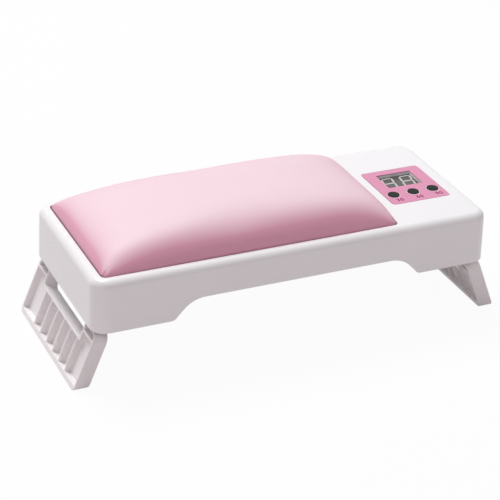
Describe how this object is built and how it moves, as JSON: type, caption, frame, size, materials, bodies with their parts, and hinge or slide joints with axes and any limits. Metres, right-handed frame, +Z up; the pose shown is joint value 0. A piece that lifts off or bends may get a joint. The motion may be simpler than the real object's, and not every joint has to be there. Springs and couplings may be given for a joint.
{
  "type": "manicure hand rest",
  "caption": "Padded manicure hand rest on folding splayed legs, with a curing lamp under its arch and a timer panel with a display and push buttons.",
  "frame": {"origin": "middle of the footprint, on the table that the feet stand on", "axes": "+X along the length towards the control panel, -Y towards the front with the push buttons, +Z up"},
  "size_m": [0.3624, 0.1414, 0.1151],
  "materials": {
    "white_plastic": "satin-gloss white moulding",
    "leg_plastic": "fine satin white moulding",
    "pink_leather": "smooth pink leatherette over foam",
    "pink_film": "printed film, satin",
    "black_rubber": "satin black",
    "display_face": "dark smoked face",
    "green_board": "solder mask",
    "white_board": "white solder mask and nylon",
    "mirror_sheet": "polished",
    "clear_lens": "clear lens",
    "black_plastic": "satin black",
    "board_wood": "fibreboard",
    "steel": "plated"
  },
  "bodies": {
    "case": {"case_screw_1": "steel", "case_screw_2": "steel", "case_screw_3": "steel", "case_screw_4": "steel", "case_screw_5": "steel", "case_screw_6": "steel", "control_board": "green_board", "control_board_screw_1": "steel", "control_board_screw_2": "steel", "control_board_screw_3": "steel", "control_board_screw_4": "steel", "control_plug": "white_board", "cushion": "pink_leather", "cushion_board": "board_wood", "cushion_screw_1": "steel", "cushion_screw_2": "steel", "cushion_screw_3": "steel", "cushion_screw_4": "steel", "dc_jack": "black_plastic", "display_module": "display_face", "hinge_bracket_left_back": "leg_plastic", "hinge_bracket_left_front": "leg_plastic", "hinge_bracket_right_back": "leg_plastic", "hinge_bracket_right_front": "leg_plastic", "hinge_pin_left_back": "steel", "hinge_pin_left_front": "steel", "hinge_pin_right_back": "steel", "hinge_pin_right_front": "steel", "lamp_01": "clear_lens", "lamp_02": "clear_lens", "lamp_03": "clear_lens", "lamp_04": "clear_lens", "lamp_05": "clear_lens", "lamp_06": "clear_lens", "lamp_07": "clear_lens", "lamp_08": "clear_lens", "lamp_09": "clear_lens", "lamp_10": "clear_lens", "lamp_11": "clear_lens", "lamp_12": "clear_lens", "lamp_board": "white_board", "lamp_board_screw_1": "steel", "lamp_board_screw_2": "steel", "lamp_board_screw_3": "steel", "lamp_board_screw_4": "steel", "lamp_lead": "black_plastic", "lamp_plug": "white_board", "lamp_tray": "white_plastic", "panel_overlay": "pink_film", "reflector": "mirror_sheet", "tact_switch_30": "black_plastic", "tact_switch_60": "black_plastic", "tact_switch_90": "black_plastic", "upper_case": "white_plastic"},
    "left_leg": {"left_leg": "leg_plastic"},
    "right_leg": {"right_leg": "leg_plastic"},
    "button_30": {"button_30": "black_rubber"},
    "button_60": {"button_60": "black_rubber"},
    "button_90": {"button_90": "black_rubber"}
  },
  "joints": [
    {"name": "left_leg_fold", "type": "hinge", "parent": "case", "child": "left_leg", "pos_m": [-0.1528, 0, 0.055], "axis": [0, -1, 0], "range_deg": [0, 112]},
    {"name": "right_leg_fold", "type": "hinge", "parent": "case", "child": "right_leg", "pos_m": [0.1528, 0, 0.055], "axis": [0, 1, 0], "range_deg": [0, 112]},
    {"name": "press_30", "type": "slide", "parent": "case", "child": "button_30", "axis": [0, 0, -1], "range_m": [0, 0.0005], "stiffness_N_per_m": 1500, "springref_m": -0.0003},
    {"name": "press_60", "type": "slide", "parent": "case", "child": "button_60", "axis": [0, 0, -1], "range_m": [0, 0.0005], "stiffness_N_per_m": 1500, "springref_m": -0.0003},
    {"name": "press_90", "type": "slide", "parent": "case", "child": "button_90", "axis": [0, 0, -1], "range_m": [0, 0.0005], "stiffness_N_per_m": 1500, "springref_m": -0.0003}
  ]
}
